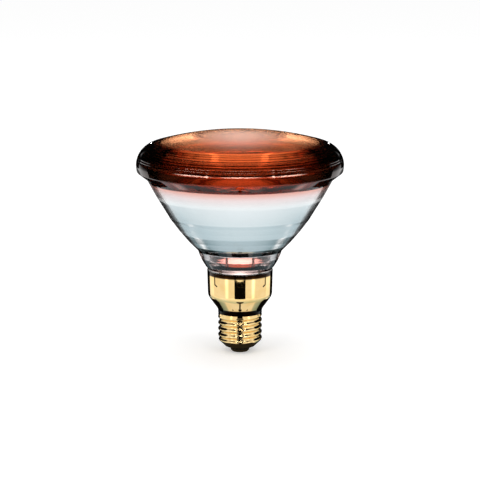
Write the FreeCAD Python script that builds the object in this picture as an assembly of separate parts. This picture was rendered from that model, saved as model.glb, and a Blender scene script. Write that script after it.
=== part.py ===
# Infrared heat lamp: a pressed-glass reflector bulb with a red lens and a skirted screw cap.
# Millimetres. The lamp stands cap down on its axis, which is Z, with the contact's face at Z = 0.
# The photographed side faces -Y.
import FreeCAD, Part
import math
import os

os.makedirs("parts", exist_ok=True)

# Screw shell, rolled from brass sheet, as wide as the crest of its thread
shell_radius = 13.1
shell_lip_radius = 8.9
shell_curl_radius = 2.2
shell_curl_angle = 46.0
shell_curl_z = 8.4
curl_facets = 2
thread_height = 14.2
swage_height = 0.9
shell_sheet = 0.3
shell_rim_height = 4.8

# Skirt of the cap, drawn from brass sheet and crimped over the shell's neck
collar_radius = 13.05
collar_clearance = 0.05
collar_height = 2.27
skirt_cone_angle = 54.0
skirt_radius = 19.5
skirt_draft = 0.4
skirt_corner_radius = 2.2
skirt_wall_height = 15.3
skirt_sheet = 0.4

# Slits that free the lugs gripping the glass heel
slit_width = 0.7
slit_drop = 1.4
slit_length = 5.2
slit_tail_run = 2.0
slit_tail_fall = 1.0
slit_reach = 3.0
slit_angle = 50.0

# Black glass insulator, contact and solder
glass_fit = 0.05
insulator_depth = 1.1
contact_radius = 5.75
contact_edge_radius = 5.45
contact_edge_z = 0.75
contact_flat_radius = 4.7
contact_thickness = 1.8
eyelet_radius = 2.0
eyelet_wall = 0.4
eyelet_height = 3.0
solder_recess = 0.05
solder_depth = 2.4

# Neck and heel of the glass bowl, measured from the skirt's lip and corner
heel_clearance = 0.3
heel_wall = 3.6
heel_seat_height = 2.6
neck_end_rise = 0.8
neck_middle_rise = 5.7
neck_middle_radius = 22.3
neck_step = 0.5
neck_facets = 3
web_thickness = 3.6
web_top_rise = 3.9
floor_radius = 15.5
floor_corner_shift = 1.0

# Clear glass bowl, whose inside is the mirror: flat bands pressed close to a parabola
bowl_focal_length = 13.9
bowl_vertex_rise = 1.1
band_rises = (53.0, 43.4, 32.7, 23.4, 16.1, 11.6)
ledge_band = 2
ledge_width = 0.35
bowl_wall = 3.0

# Red front lens, measured from the seam with the bowl
seam_step_height = 1.1
seam_step_width = 0.8
bevel_height = 4.3
rim_band_height = 3.42
rim_overhang = 6.7
rim_draft = 0.35
shoulder_wall = 5.2
shoulder_radius = 13.2
shoulder_facets = 3
dome_radius = 190.0
dome_facets = 3
lens_wall = 3.4
ring_count = 8
ring_height = 0.4
ring_start_angle = 2
ring_end_angle = 72
inner_dome_margin = 2.0

# Mount: ferrules placed in the room between exhaust tube and heel, posts, bridge and filament
ferrule_room_share = 0.355
ferrule_hole_radius = 2.2
boss_radius = 3.6
boss_height = 2.4
ferrule_wall = 0.4
ferrule_depth = 5.6
seal_gap = 0.05
post_radius = 0.75
post_overrun = 1.4
bridge_below_focus = 6.1
bridge_radius = 1.7
bridge_overhang = 2.2
support_wire_radius = 0.3
support_count = 3
coil_radius = 0.85
exhaust_radius = 2.4
exhaust_bore_radius = 1.2
exhaust_length = 8.5
exhaust_taper_length = 2.8
exhaust_tip_radius = 0.9

# Leads inside the cap
lead_radius = 0.35
lead_drop = 5.0
lead_axis_z = 24.0
lead_bend_back = 5.0
lead_hole_clearance = 0.25
joint_radius = 1.5
joint_height = 1.2

# Places that follow from the sizes above, from the cap upwards
origin = FreeCAD.Vector(0, 0, 0)
up = FreeCAD.Vector(0, 0, 1)
insulator_top_z = shell_curl_z + insulator_depth
swage_start_z = shell_curl_z + thread_height
collar_end_z = swage_start_z + swage_height + shell_sheet
cone_start_z = collar_end_z + collar_height
skirt_corner_width = skirt_radius - skirt_draft
skirt_corner_z = cone_start_z + (skirt_corner_width - collar_radius) * math.tan(
    math.radians(skirt_cone_angle))
skirt_top_z = skirt_corner_z + skirt_wall_height
heel_end_z = skirt_corner_z + heel_seat_height
web_top_z = skirt_top_z + web_top_rise
web_end_z = web_top_z - web_thickness
bowl_vertex_z = skirt_top_z + bowl_vertex_rise
band_edges_z = [bowl_vertex_z + rise for rise in band_rises]
seam_z = band_edges_z[0]
neck_z = band_edges_z[-1]
focus_z = bowl_vertex_z + bowl_focal_length
bridge_z = focus_z - bridge_below_focus
ferrule_end_z = web_end_z - ferrule_depth
ferrule_floor_z = ferrule_end_z + ferrule_wall
post_top_z = focus_z + post_overrun


def dome_z(radius, inset):
    """Height of the dome at a radius from the axis, or of the same centre's sphere inset from it."""
    centre_z = shoulder_z - math.sqrt((dome_radius - shoulder_radius) ** 2 - shoulder_r ** 2)
    return centre_z + math.sqrt((dome_radius - inset) ** 2 - radius ** 2)


def along_dome(start_radius, end_radius, inset, steps):
    """Flat facets that follow the dome, from one radius to another."""
    radii = [start_radius + (end_radius - start_radius) * i / steps for i in range(steps + 1)]
    return [(radius, dome_z(radius, inset)) for radius in radii]


def along_circle(centre, radius, start_degrees, end_degrees, steps):
    """Flat facets that follow a round corner of a profile."""
    places = []
    for index in range(steps + 1):
        angle = math.radians(start_degrees + (end_degrees - start_degrees) * index / steps)
        places.append((centre[0] + radius * math.cos(angle), centre[1] + radius * math.sin(angle)))
    return places


def turned(profile):
    """Solid of revolution of a closed profile of (radius, height) places about the axis."""
    places = [FreeCAD.Vector(radius, 0, height) for radius, height in profile]
    return Part.Face(Part.makePolygon(places + places[:1])).revolve(origin, up, 360)


def thickened(line, sheet):
    """Closed profile of drawn sheet: an outer line and the same line moved in by the sheet."""
    runs = []
    for (r0, z0), (r1, z1) in zip(line, line[1:]):
        share = sheet / math.hypot(r1 - r0, z1 - z0)
        runs.append((r0 - (z1 - z0) * share, z0 + (r1 - r0) * share, r1 - r0, z1 - z0))
    inner = [runs[0][:2]]
    for (ar, az, adr, adz), (br, bz, bdr, bdz) in zip(runs, runs[1:]):
        share = ((br - ar) * bdz - (bz - az) * bdr) / (adr * bdz - adz * bdr)
        inner.append((ar + adr * share, az + adz * share))
    last_r, last_z, last_dr, last_dz = runs[-1]
    inner.append((last_r + last_dr, last_z + last_dz))
    return line + inner[::-1]


def rod(places, radius):
    """Round wire along straight runs with mitred bends."""
    path = Part.makePolygon(places)
    section = Part.Wire(Part.makeCircle(radius, places[0], places[1] - places[0]))
    return path.makePipeShell([section], True, False, 1)


def bowl_outer_radius(height):
    """Parabola that the outside of the bowl follows."""
    return 2 * math.sqrt(bowl_focal_length * (height - bowl_vertex_z))


def bowl_inner_radius(height):
    """The same parabola, moved in by the wall measured square to the glass."""
    outer = bowl_outer_radius(height)
    return outer - bowl_wall * math.hypot(1, 2 * bowl_focal_length / outer)


def skirt_outer_radius(height):
    """Outside of the skirt's wall, slightly narrower towards the cone."""
    return skirt_radius - skirt_draft * (skirt_top_z - height) / skirt_wall_height


def heel_outer_radius(height):
    """Outside of the glass heel, a clearance inside the skirt."""
    return skirt_outer_radius(height) - skirt_sheet - heel_clearance


seam_radius = bowl_outer_radius(seam_z)
lens_radius = seam_radius + rim_overhang
rim_corner_z = seam_z + seam_step_height + bevel_height
shoulder_z = rim_corner_z + rim_band_height
shoulder_r = lens_radius - shoulder_radius
heel_inner_radius = heel_outer_radius(heel_end_z) - heel_wall
ferrule_radius = boss_radius + seal_gap + ferrule_wall
ferrule_room = heel_inner_radius - exhaust_radius - 2 * ferrule_radius
ferrule_x = exhaust_radius + ferrule_radius + ferrule_room * ferrule_room_share


def front_lens():
    """Pressed red lens: dome, rounded shoulder, upright rim and bevel, with rings inside."""
    meeting = math.degrees(math.acos(shoulder_r / (dome_radius - shoulder_radius)))
    shoulder = along_circle((shoulder_r, shoulder_z), shoulder_radius, meeting, 0, shoulder_facets)
    profile = along_dome(0, shoulder[0][0], 0, dome_facets)[:-1] + shoulder
    profile += [
        (lens_radius - rim_draft, rim_corner_z),
        (seam_radius + seam_step_width, seam_z + seam_step_height),
        (seam_radius, seam_z),
        (bowl_inner_radius(seam_z), seam_z),
    ]
    hollow_radius = shoulder_radius - shoulder_wall
    ring_centre = (shoulder_r, shoulder_z)
    valleys = along_circle(ring_centre, hollow_radius, ring_start_angle, ring_end_angle, ring_count)
    half_ring = (ring_end_angle - ring_start_angle) / ring_count / 2
    crests = along_circle(
        ring_centre, hollow_radius - ring_height, ring_start_angle + half_ring,
        ring_end_angle - half_ring, ring_count - 1)
    for valley, crest in zip(valleys, crests):
        profile += [valley, crest]
    inner_dome_r = valleys[-1][0] - inner_dome_margin
    return turned(profile + valleys[-1:] + along_dome(inner_dome_r, 0, lens_wall, dome_facets - 1))


def neck_line(top, middle, end):
    """Facets of the neck's curve through three places, as one parabola."""
    places = []
    for index in range(neck_facets + 1):
        share = index / neck_facets
        height = top[1] + (end[1] - top[1]) * share
        weights = (
            (height - middle[1]) * (height - end[1]) / (top[1] - middle[1]) / (top[1] - end[1]),
            (height - top[1]) * (height - end[1]) / (middle[1] - top[1]) / (middle[1] - end[1]),
            (height - top[1]) * (height - middle[1]) / (end[1] - top[1]) / (end[1] - middle[1]),
        )
        radius = sum(weight * place[0] for weight, place in zip(weights, (top, middle, end)))
        places.append((radius, height))
    return places


def reflector_bowl():
    """Pressed clear bowl: banded outside, banded mirror inside, neck, web, heel and two bosses."""
    profile = []
    for index, height in enumerate(band_edges_z):
        profile.append((bowl_outer_radius(height), height))
        if index == ledge_band:
            profile.append((bowl_outer_radius(height) + ledge_width, height - ledge_width))
    neck_top = (bowl_outer_radius(neck_z) - neck_step, neck_z - neck_step)
    neck_end_z = skirt_top_z + neck_end_rise
    neck_end = (heel_outer_radius(neck_end_z), neck_end_z)
    neck_middle = (neck_middle_radius, skirt_top_z + neck_middle_rise)
    profile += neck_line(neck_top, neck_middle, neck_end)
    profile += [
        (heel_outer_radius(heel_end_z), heel_end_z),
        (heel_inner_radius, heel_end_z),
        (heel_inner_radius, web_end_z),
        (0, web_end_z),
        (0, web_top_z),
        (floor_radius, web_top_z),
    ]
    inner_neck = bowl_inner_radius(neck_z)
    corner_r = (inner_neck + floor_radius) / 2 + floor_corner_shift
    profile.append((corner_r, (neck_z + web_top_z) / 2))
    profile += [(bowl_inner_radius(height), height) for height in band_edges_z[::-1]]
    bowl = turned(profile)
    for side in (-1, 1):
        foot = FreeCAD.Vector(side * ferrule_x, 0, web_end_z - boss_height)
        bowl = bowl.fuse(Part.makeCylinder(boss_radius, boss_height + web_thickness / 2, foot))
    for side in (-1, 1):
        foot = FreeCAD.Vector(side * ferrule_x, 0, web_end_z - 2 * boss_height)
        bowl = bowl.cut(Part.makeCylinder(ferrule_hole_radius, web_thickness + 3 * boss_height, foot))
    foot = FreeCAD.Vector(0, 0, web_end_z - boss_height)
    bowl = bowl.cut(Part.makeCylinder(exhaust_bore_radius, web_thickness + 2 * boss_height, foot))
    return bowl.removeSplitter()


def exhaust_tip():
    """Stub of the pumping tube under the web, melted shut at its lower end."""
    end_z = web_end_z - exhaust_length
    wall = exhaust_radius - exhaust_bore_radius
    return turned([
        (exhaust_bore_radius, web_end_z),
        (exhaust_radius, web_end_z),
        (exhaust_radius, end_z + exhaust_taper_length),
        (exhaust_tip_radius, end_z),
        (0, end_z),
        (0, end_z + wall),
        (exhaust_bore_radius, end_z + exhaust_taper_length + wall),
    ])


def ferrule(side):
    """Thin metal cup sealed over a glass boss, its floor carrying the post."""
    inner = ferrule_radius - ferrule_wall
    cup = turned([
        (0, ferrule_end_z),
        (inner, ferrule_end_z),
        (ferrule_radius, ferrule_floor_z),
        (ferrule_radius, web_end_z),
        (inner, web_end_z),
        (inner, ferrule_floor_z),
        (0, ferrule_floor_z),
    ])
    cup.translate(FreeCAD.Vector(side * ferrule_x, 0, 0))
    return cup


def lead_post(side):
    """Stiff nickel post from the ferrule's floor to the filament."""
    foot = FreeCAD.Vector(side * ferrule_x, 0, ferrule_floor_z)
    return Part.makeCylinder(post_radius, post_top_z - ferrule_floor_z, foot)


def filament_place(index):
    """One of the places that hold the filament, evenly spaced on a half ring at the focus."""
    angle = math.pi * (1 + index / (support_count + 1))
    return FreeCAD.Vector(ferrule_x * math.cos(angle), ferrule_x * math.sin(angle), focus_z)


def filament():
    """Room of the coiled wire: straight runs from post to support to post, at the focus."""
    places = [filament_place(index) for index in range(support_count + 2)]
    for end, beside in ((0, 1), (-1, -2)):
        away = (places[beside] - places[end]).normalize()
        places[end] = places[end] + away * (post_radius + coil_radius + seal_gap)
    return rod(places, coil_radius)


def filament_support(index):
    """Thin wire from the bridge's front, out and up to just under the filament."""
    held = filament_place(index + 1)
    bridge_front = -bridge_radius - seal_gap
    top = FreeCAD.Vector(held.x, held.y, held.z - coil_radius - seal_gap)
    foot = FreeCAD.Vector(held.x, bridge_front, bridge_z)
    return rod([foot, FreeCAD.Vector(held.x, held.y, bridge_z), top], support_wire_radius)


def glass_bridge():
    """Glass rod melted round both posts, carrying the supports."""
    length = 2 * (ferrule_x + bridge_overhang)
    along = FreeCAD.Vector(1, 0, 0)
    end = FreeCAD.Vector(-length / 2, 0, bridge_z)
    bridge = Part.makeCylinder(bridge_radius, length, end, along)
    for side in (-1, 1):
        foot = FreeCAD.Vector(side * ferrule_x, 0, bridge_z - 2 * bridge_radius)
        bridge = bridge.cut(Part.makeCylinder(post_radius + seal_gap, 4 * bridge_radius, foot))
    return bridge


def skirt_line():
    """Outer line of the skirt from the collar's lower edge up to the lip."""
    cone = math.radians(skirt_cone_angle)
    step = skirt_corner_radius / 2
    return [
        (collar_radius, collar_end_z),
        (collar_radius, cone_start_z),
        (skirt_corner_width - step * math.cos(cone), skirt_corner_z - step * math.sin(cone)),
        (skirt_outer_radius(skirt_corner_z + step), skirt_corner_z + step),
        (skirt_radius, skirt_top_z),
    ]


def hooked_slit(hand):
    """Cutter for one slit: straight down from below the lip, then off to one side at its foot."""
    top_z = skirt_top_z - slit_drop
    foot_z = top_z - slit_length
    line = [(0, top_z), (0, foot_z), (hand * slit_tail_run, foot_z - slit_tail_fall)]
    places = [FreeCAD.Vector(x, skirt_radius - slit_reach, z) for x, z in thickened(line, slit_width)]
    return Part.Face(Part.makePolygon(places + places[:1])).extrude(FreeCAD.Vector(0, 2 * slit_reach, 0))


def cap_skirt(lead_hole):
    """Drawn skirt with its collar, cone, wall, four hooked slits and the lead's hole."""
    skirt = turned(thickened(skirt_line(), skirt_sheet))
    for half_turn in (0, 180):
        for side in (-1, 1):
            cutter = hooked_slit(side)
            cutter.rotate(origin, up, side * slit_angle + half_turn)
            skirt = skirt.cut(cutter)
    return skirt.cut(lead_hole)


def shell_line():
    """Outer line of the screw shell from its curled lip up to the rim under the collar."""
    swaged = collar_radius - skirt_sheet - collar_clearance
    centre = (shell_radius - shell_curl_radius, shell_curl_z)
    curl = along_circle(centre, shell_curl_radius, -shell_curl_angle, 0, curl_facets)
    steep = math.tan(math.radians(shell_curl_angle))
    lip_z = curl[0][1] - (curl[0][0] - shell_lip_radius) / steep
    return [(shell_lip_radius, lip_z)] + curl + [
        (shell_radius, swage_start_z),
        (swaged, swage_start_z + swage_height),
        (swaged, collar_end_z + shell_rim_height),
    ]


def screw_shell():
    """Thin brass shell, curled in at its lip and swaged in under the skirt's collar."""
    return turned(thickened(shell_line(), shell_sheet))


def insulator():
    """Black glass poured into the shell's curled end, with a cone under the lip."""
    line = shell_line()
    fitted = thickened(line, shell_sheet + glass_fit)[len(line):][::-1]
    seat = fitted[:curl_facets + 2][::-1]
    bore = eyelet_radius + glass_fit
    lip_r, lip_z = seat[-1]
    return turned([(bore, insulator_top_z), (seat[0][0], insulator_top_z)] + seat + [
        (lip_r, lip_z - shell_sheet - 2 * glass_fit),
        (contact_radius + glass_fit, contact_thickness),
        (bore, contact_thickness),
    ])


def centre_contact():
    """Brass contact plate with a bevelled edge and an eyelet set in the insulator."""
    bore = eyelet_radius - eyelet_wall
    eyelet_top = contact_thickness + eyelet_height
    return turned([
        (bore, 0),
        (contact_flat_radius, 0),
        (contact_edge_radius, contact_edge_z),
        (contact_radius, contact_thickness),
        (eyelet_radius, contact_thickness),
        (eyelet_radius, eyelet_top),
        (bore, eyelet_top),
    ])


def contact_solder():
    """Solder that fills the contact's eyelet."""
    foot = FreeCAD.Vector(0, 0, solder_recess)
    return Part.makeCylinder(eyelet_radius - eyelet_wall, solder_depth - solder_recess, foot)


def contact_lead():
    """Wire from the left ferrule to the solder in the centre contact."""
    return rod([
        FreeCAD.Vector(-ferrule_x, 0, ferrule_end_z),
        FreeCAD.Vector(-ferrule_x, 0, ferrule_end_z - lead_drop),
        FreeCAD.Vector(0, 0, lead_axis_z),
        FreeCAD.Vector(0, 0, solder_depth),
    ], lead_radius)


def shell_joint():
    """Place and outward direction of the soldered joint, square to the skirt's cone at the back."""
    (foot_r, foot_z), (cone_r, cone_z) = skirt_line()[1:3]
    height = (foot_z + cone_z) / 2
    angle = math.atan2(cone_r - foot_r, cone_z - foot_z)
    outward = FreeCAD.Vector(0, math.cos(angle), -math.sin(angle))
    return FreeCAD.Vector(0, (foot_r + cone_r) / 2, height), outward


def shell_lead(radius):
    """Wire from the right ferrule, out through the cone at the back."""
    place, outward = shell_joint()
    return rod([
        FreeCAD.Vector(ferrule_x, 0, ferrule_end_z),
        FreeCAD.Vector(ferrule_x, 0, ferrule_end_z - lead_drop),
        place - outward * lead_bend_back,
        place + outward * (joint_height / 2),
    ], radius)


def shell_solder(lead):
    """Drop of solder over the lead's end, on the cone."""
    place, outward = shell_joint()
    base = place - outward * (skirt_sheet / 2)
    drop = Part.makeCone(joint_radius, joint_radius / 2, joint_height + skirt_sheet / 2, base, outward)
    line = skirt_line()
    filled = turned([(0, line[0][1])] + line + [(0, line[-1][1])])
    return drop.cut(filled).cut(lead)


def write(name, shape):
    """One file for each physical piece."""
    shape.exportStep("parts/" + name + ".step")


wire_to_shell = shell_lead(lead_radius)
write("front_lens", front_lens())
write("reflector_bowl", reflector_bowl())
write("exhaust_tip", exhaust_tip())
for side_name, side_sign in (("left", -1), ("right", 1)):
    write("ferrule_" + side_name, ferrule(side_sign))
    write("lead_post_" + side_name, lead_post(side_sign))
write("glass_bridge", glass_bridge())
for support_index in range(support_count):
    write("filament_support_" + str(support_index + 1), filament_support(support_index))
write("filament", filament())
write("cap_skirt", cap_skirt(shell_lead(lead_radius + lead_hole_clearance)))
write("screw_shell", screw_shell())
write("insulator", insulator())
write("centre_contact", centre_contact())
write("contact_solder", contact_solder())
write("contact_lead", contact_lead())
write("shell_lead", wire_to_shell)
write("shell_solder", shell_solder(wire_to_shell))
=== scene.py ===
import bpy
import math
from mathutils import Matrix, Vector


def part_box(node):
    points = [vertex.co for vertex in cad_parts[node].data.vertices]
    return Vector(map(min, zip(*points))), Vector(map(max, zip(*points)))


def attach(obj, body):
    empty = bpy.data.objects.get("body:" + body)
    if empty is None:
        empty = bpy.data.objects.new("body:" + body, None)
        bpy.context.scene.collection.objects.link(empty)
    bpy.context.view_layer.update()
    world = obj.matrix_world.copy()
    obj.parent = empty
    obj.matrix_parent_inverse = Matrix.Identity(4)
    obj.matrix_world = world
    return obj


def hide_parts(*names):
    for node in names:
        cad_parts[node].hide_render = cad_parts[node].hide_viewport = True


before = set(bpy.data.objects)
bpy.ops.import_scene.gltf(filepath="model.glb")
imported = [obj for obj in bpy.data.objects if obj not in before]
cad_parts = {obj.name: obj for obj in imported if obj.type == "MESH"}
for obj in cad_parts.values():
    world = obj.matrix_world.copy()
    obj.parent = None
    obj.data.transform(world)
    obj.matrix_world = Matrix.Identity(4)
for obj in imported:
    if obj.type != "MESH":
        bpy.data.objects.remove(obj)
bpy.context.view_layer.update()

bl_info = {
    "name": "Infrared heat lamp",
    "version": (1, 0, 0),
    "blender": (4, 5, 0),
    "location": "3D View > Sidebar > Heat Lamp",
    "description": "Dresses a pressed-glass reflector lamp with a red lens and a skirted screw cap",
    "category": "Object",
}

# Places taken from the frame, in metres
MM = 0.001
lens_low, lens_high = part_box("front_lens")
bowl_low, bowl_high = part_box("reflector_bowl")
skirt_low, skirt_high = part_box("cap_skirt")
shell_low, shell_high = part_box("screw_shell")
insulator_low, insulator_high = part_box("insulator")
contact_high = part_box("centre_contact")[1]
filament_low, filament_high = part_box("filament")
solder_low, solder_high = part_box("shell_solder")
SEAM_Z = lens_low.z
SEAM_RADIUS = bowl_high.x
LIP_Z = skirt_high.z
COLLAR_Z = skirt_low.z

# Rings pressed inside the lens's shoulder, set along an arc, and the steps that draw each ring
RING_COUNT = 8
RING_START = math.radians(2)
RING_END = math.radians(72)
RING_STEPS = 8

# Parts that a full turn of each piece is cut into
GLASS_TURN = 160
SKIRT_TURN = 144
SHELL_TURN = 120
BUTTON_TURN = 96

# How strongly each glass bends light
RUBY_IOR = 1.52
CLEAR_IOR = 1.48
BLACK_IOR = 1.6

# Middle part of the noise, over which a finish runs from its first value to its second
PATCH_LOW = 0.3
PATCH_HIGH = 0.7

# Studio cards that glass shows. The bowl's mirror lies behind glass, so it sees only these
SEEN_THROUGH = (
    "paper", "front_glow", "back_glow", "back_low_glow", "back_low_shade", "left_low_card",
    "right_low_card", "front_felt", "left_panel", "right_panel")


def linear(hex_colour):
    """Linear colour of an sRGB hex value."""
    channels = [int(hex_colour[i:i + 2], 16) / 255 for i in (1, 3, 5)]
    return [c / 12.92 if c <= 0.04045 else ((c + 0.055) / 1.055) ** 2.4 for c in channels]


def length(label, words, millimetres):
    """Property for one length that a user would change."""
    return bpy.props.FloatProperty(
        name=label, description=words, default=millimetres * MM, unit="LENGTH", precision=5)


def colour(label, words, hex_colour):
    """Property for one colour that a user would change."""
    return bpy.props.FloatVectorProperty(
        name=label, description=words, default=linear(hex_colour), subtype="COLOR", min=0, max=1)


class HeatLampSizes(bpy.types.PropertyGroup):
    """Sizes of the lamp's glass and cap."""
    dome_radius: length("Dome radius", "Radius of the lens's shallow dome", 190)
    shoulder_radius: length("Shoulder radius", "Rounding between the dome and the rim", 13.2)
    lens_wall: length("Lens wall", "Thickness of the red glass", 3.4)
    ring_height: length("Ring height", "Height of the rings pressed inside the shoulder", 0.4)
    focal_length: length("Focal length", "Focus of the bowl's parabola above its vertex", 13.9)
    vertex_drop: length("Vertex drop", "Seam above the parabola's vertex", 53)
    bowl_wall: length("Bowl wall", "Thickness of the clear glass", 3)
    thread_pitch: length("Thread pitch", "Rise of the screw thread in one turn", 3.629)
    thread_depth: length("Thread depth", "Crest of the screw thread above its root", 1.0)
    skirt_sheet: length("Skirt sheet", "Thickness of the skirt's brass", 0.4)
    coil_pitch: length("Coil pitch", "Spacing of the filament's turns", 0.42)


class HeatLampColours(bpy.types.PropertyGroup):
    """Colours of the lamp's glass and metal."""
    ruby: colour("Ruby", "Red of the lens's glass, for one pass of light", "#FFB488")
    clear: colour("Clear", "Faint tint of the bowl's glass", "#F5F9F9")
    brass: colour("Brass", "Polished brass of the cap", "#FBDCA0")
    tarnish: colour("Tarnish", "Brass that handling has dulled", "#F2CB86")
    mirror: colour("Mirror", "Aluminium coating inside the bowl", "#F2F0F0")


def sizes():
    """Sizes kept by the scene."""
    return bpy.context.scene.heat_lamp_sizes


def colours():
    """Colours kept by the scene."""
    return bpy.context.scene.heat_lamp_colours


# Modelling by hand, in code
def deselect():
    """Leaves nothing selected, the frame's nodes among them."""
    if bpy.context.object and bpy.context.object.mode != "OBJECT":
        bpy.ops.object.mode_set(mode="OBJECT")
    bpy.ops.object.select_all(action="DESELECT")


def select_only(piece):
    """Makes one piece the only selected and the active one."""
    deselect()
    piece.select_set(True)
    bpy.context.view_layer.objects.active = piece


def spun(name, profile, steps, closed=True):
    """Turns a profile of (radius, height) places about the axis into a smooth solid or sheet."""
    deselect()
    start = Vector((profile[0][0], 0, profile[0][1]))
    bpy.ops.mesh.primitive_plane_add(size=MM, location=start)
    piece = bpy.context.object
    piece.name = name
    bpy.ops.object.mode_set(mode="EDIT")
    bpy.ops.mesh.merge(type="CENTER")
    for (r0, z0), (r1, z1) in zip(profile, profile[1:] + (profile[:1] if closed else [])):
        bpy.ops.mesh.extrude_vertices_move(TRANSFORM_OT_translate={"value": (r1 - r0, 0, z1 - z0)})
    bpy.ops.mesh.select_all(action="SELECT")
    bpy.ops.mesh.spin(steps=steps, angle=math.tau, center=(0, 0, 0), axis=(0, 0, 1))
    bpy.ops.mesh.select_all(action="SELECT")
    bpy.ops.mesh.remove_doubles(threshold=MM / 1000)
    bpy.ops.mesh.normals_make_consistent(inside=False)
    bpy.ops.object.mode_set(mode="OBJECT")
    bpy.ops.object.transform_apply(location=True, rotation=True, scale=True)
    return piece


def smooth(piece, degrees):
    """Smooth shading, with edges sharper than an angle kept."""
    select_only(piece)
    bpy.ops.object.shade_smooth_by_angle(angle=math.radians(degrees))


def apply_modifier(piece, kind, **settings):
    """Adds a modifier with its settings and applies it."""
    select_only(piece)
    modifier = piece.modifiers.new(kind.title(), kind)
    for key, value in settings.items():
        setattr(modifier, key, value)
    bpy.ops.object.modifier_apply(modifier=modifier.name)


def paint(piece, *materials):
    """Gives a piece its materials."""
    piece.data.materials.clear()
    for material in materials:
        piece.data.materials.append(material)


def take_over(piece, node):
    """Makes a finished piece ride on the lamp in place of its CAD node."""
    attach(piece, "root")
    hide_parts(node)


def swung(centre, radius, degrees):
    """Place at an angle and a radius from a centre, in the profile's plane."""
    angle = math.radians(degrees)
    return centre[0] + radius * math.cos(angle), centre[1] + radius * math.sin(angle)


def arc(centre, radius, start, end, steps):
    """Places along a round corner, from one angle to another in degrees."""
    return [swung(centre, radius, start + (end - start) * index / steps) for index in range(steps + 1)]


def softened(places, reach, steps=3):
    """The same line with each inner corner rounded, its rounding starting a reach away."""
    line = [places[0]]
    for (ar, az), (br, bz), (cr, cz) in zip(places, places[1:], places[2:]):
        before = min(reach / max(math.hypot(ar - br, az - bz), reach / 2), 0.5)
        after = min(reach / max(math.hypot(cr - br, cz - bz), reach / 2), 0.5)
        pr, pz = br + (ar - br) * before, bz + (az - bz) * before
        qr, qz = br + (cr - br) * after, bz + (cz - bz) * after
        for index in range(steps + 1):
            t = index / steps
            line.append((
                (1 - t) ** 2 * pr + 2 * t * (1 - t) * br + t ** 2 * qr,
                (1 - t) ** 2 * pz + 2 * t * (1 - t) * bz + t ** 2 * qz))
    return line + [places[-1]]


# Shader nodes, and the patterns that several finishes share
def add_node(tree, kind, values=(), links=(), **attributes):
    """Adds a shader node with its attributes, its values by socket and its links by socket."""
    made = tree.nodes.new(kind)
    for key, value in attributes.items():
        setattr(made, key, value)
    for socket, value in dict(values).items():
        made.inputs[socket].default_value = value
    for socket, source in dict(links).items():
        tree.links.new(source, made.inputs[socket])
    return made


def empty_material(name):
    """Material with no node in it yet, and its node tree."""
    material = bpy.data.materials.new(name)
    material.use_nodes = True
    material.node_tree.nodes.clear()
    return material, material.node_tree


def new_material(name, values, detail):
    """Material whose constants sit on the shader's own sockets, and whose detail gives its links."""
    material, tree = empty_material(name)
    shader = add_node(tree, "ShaderNodeBsdfPrincipled", values, detail(tree))
    add_node(tree, "ShaderNodeOutputMaterial", links={"Surface": shader.outputs["BSDF"]})
    return material


def opaque(rgb):
    """Colour with full alpha, as a colour socket takes it."""
    return (*rgb, 1)


def fill_ramp(ramp, stops):
    """Gives a colour ramp its stops: a position, and an sRGB hex value or a linear colour."""
    for position, tone in stops[1:-1]:
        ramp.color_ramp.elements.new(position)
    for element, (position, tone) in zip(ramp.color_ramp.elements, stops):
        element.position = position
        element.color = opaque(linear(tone) if isinstance(tone, str) else tone)


def patches(tree, width, detail=2, stretch=(1, 1, 1)):
    """Soft patches about as wide as a size in metres, fixed to the piece."""
    place = add_node(tree, "ShaderNodeTexCoord")
    stretched = add_node(
        tree, "ShaderNodeMapping", {"Scale": stretch}, {"Vector": place.outputs["Object"]})
    noise = add_node(
        tree, "ShaderNodeTexNoise", {"Scale": 1 / width, "Detail": detail},
        {"Vector": stretched.outputs["Vector"]})
    return noise.outputs["Fac"]


def uneven_gloss(tree, low, high, *pattern):
    """Roughness that wanders between two values in patches."""
    ranged = add_node(
        tree, "ShaderNodeMapRange",
        {"From Min": PATCH_LOW, "From Max": PATCH_HIGH, "To Min": low, "To Max": high},
        {"Value": patches(tree, *pattern)})
    return ranged.outputs["Result"]


def uneven_colour(tree, first, second, *pattern):
    """Colour that wanders between two in patches."""
    ramp = add_node(tree, "ShaderNodeValToRGB", links={"Fac": patches(tree, *pattern)})
    fill_ramp(ramp, ((PATCH_LOW, first), (PATCH_HIGH, second)))
    return ramp.outputs["Color"]


def uneven_face(tree, depth, *pattern):
    """Normal of a face that rises and falls in patches, by a depth in metres."""
    bump = add_node(
        tree, "ShaderNodeBump", {"Strength": 1, "Distance": depth}, {"Height": patches(tree, *pattern)})
    return bump.outputs["Normal"]


def colour_up(tree, low, high, stops):
    """Colour that changes up a piece, from stops of its share of the way between two heights."""
    place = add_node(tree, "ShaderNodeTexCoord")
    split = add_node(tree, "ShaderNodeSeparateXYZ", links={"Vector": place.outputs["Object"]})
    share = add_node(
        tree, "ShaderNodeMapRange", {"From Min": low, "From Max": high}, {"Value": split.outputs["Z"]})
    ramp = add_node(tree, "ShaderNodeValToRGB", links={"Fac": share.outputs["Result"]})
    fill_ramp(ramp, stops)
    return ramp.outputs["Color"]


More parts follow.
